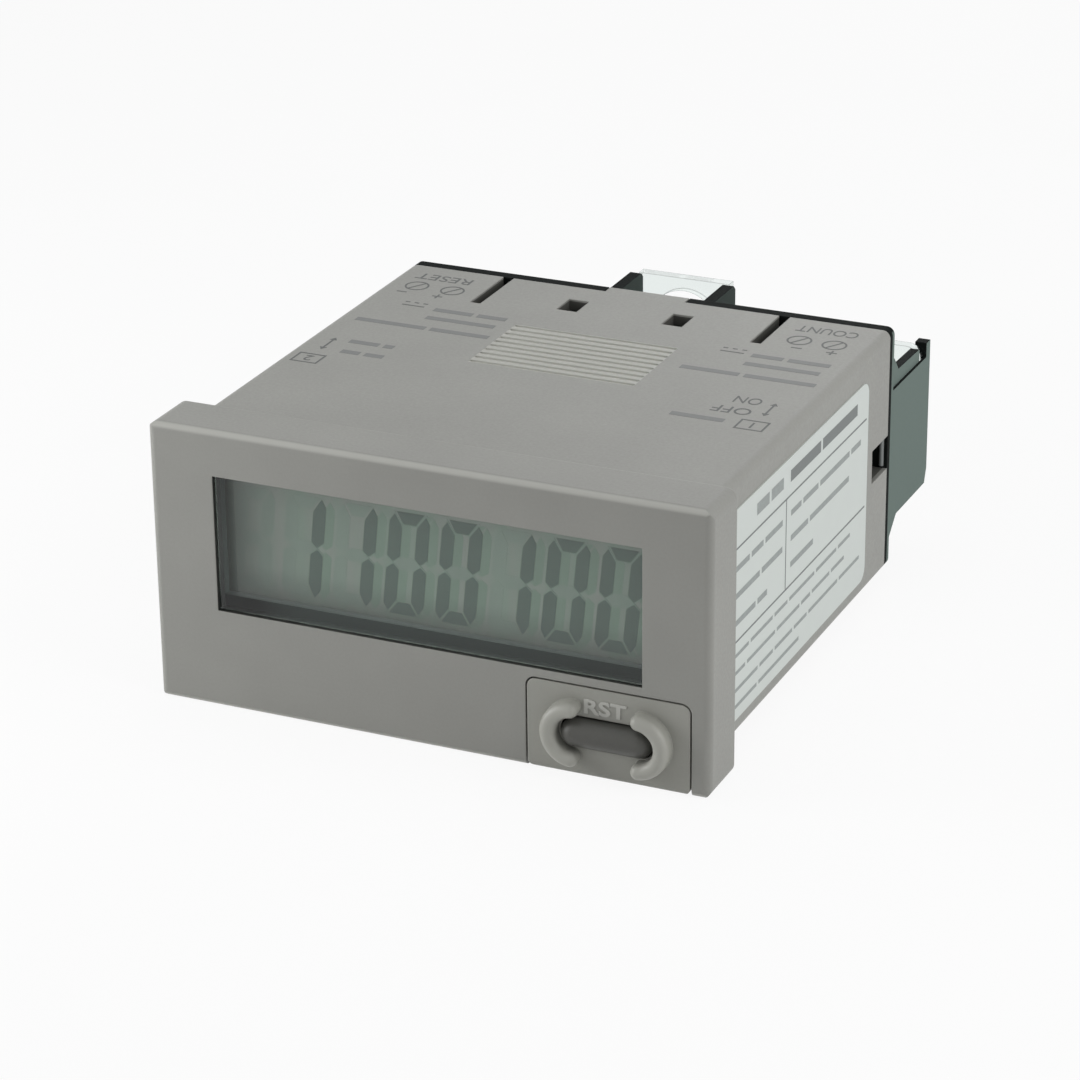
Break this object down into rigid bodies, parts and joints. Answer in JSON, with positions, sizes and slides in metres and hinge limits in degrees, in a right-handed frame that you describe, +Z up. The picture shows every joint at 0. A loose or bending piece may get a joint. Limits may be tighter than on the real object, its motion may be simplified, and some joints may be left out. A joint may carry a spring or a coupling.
{
  "type": "panel counter",
  "caption": "Panel-mounted totalising counter: LCD behind a clear window, guarded reset key in the bezel, moulded case, and rear screw terminals under a clear slide-in cover.",
  "frame": {"origin": "centre of the panel seat, which is the rear face of the bezel", "axes": "+X to the right as seen from the front, +Y from the bezel through the panel to the terminals, +Z up"},
  "size_m": [0.048, 0.0569, 0.024],
  "materials": {
    "case_grey": "fine moulded texture, light grey",
    "plate_grey": "fine moulded texture, mid grey",
    "key_dark": "satin dark grey",
    "clear_pane": "clear polished",
    "lcd_glass": "reflective grey-green LCD",
    "frame_black": "matt black",
    "elastomer": "layered silicone strip",
    "chip_black": "matt black mould compound",
    "plunger_cream": "smooth cream",
    "board_green": "green solder mask",
    "coupler_white": "white mould compound",
    "capacitor_sleeve": "shrink sleeve",
    "cell_metal": "plain sleeved metal can",
    "contact_metal": "tin-plated brass",
    "plated_metal": "nickel-plated steel",
    "switch_blue": "smooth blue",
    "slider_white": "smooth white",
    "terminal_black": "semi-gloss black moulding",
    "clear_cover": "clear polished",
    "label_white": "white polyester film"
  },
  "bodies": {
    "counter": {"case": "case_grey", "display_window": "clear_pane", "lcd_panel": "lcd_glass", "lcd_frame": "frame_black", "upper_contact_strip": "elastomer", "lower_contact_strip": "elastomer", "reset_key_plate": "plate_grey", "reset_switch": "chip_black", "display_board": "board_green", "counter_chip": "chip_black", "clock_crystal": "plated_metal", "input_board": "board_green", "board_header": "chip_black", "photocouplers": "coupler_white", "input_resistors": "chip_black", "filter_capacitor": "capacitor_sleeve", "battery_cell": "cell_metal", "battery_holder": "frame_black", "battery_contacts": "contact_metal", "mode_switch": "switch_blue", "terminal_block": "terminal_black", "terminal_plates": "contact_metal", "clamp_washers": "plated_metal", "terminal_screws": "plated_metal", "terminal_cover": "clear_cover", "side_label": "label_white"},
    "reset_key": {"reset_key": "key_dark", "reset_plunger": "plunger_cream"},
    "key_protect_slider": {"key_protect_slider": "slider_white"},
    "speed_slider": {"speed_slider": "slider_white"}
  },
  "joints": [
    {"name": "reset_press", "type": "slide", "parent": "counter", "child": "reset_key", "axis": [0, 1, 0], "range_m": [0, 0.0005], "stiffness_N_per_m": 2000},
    {"name": "key_protect_slide", "type": "slide", "parent": "counter", "child": "key_protect_slider", "axis": [0, 1, 0], "range_m": [0, 0.0018]},
    {"name": "speed_slide", "type": "slide", "parent": "counter", "child": "speed_slider", "axis": [0, 1, 0], "range_m": [0, 0.0018]}
  ]
}
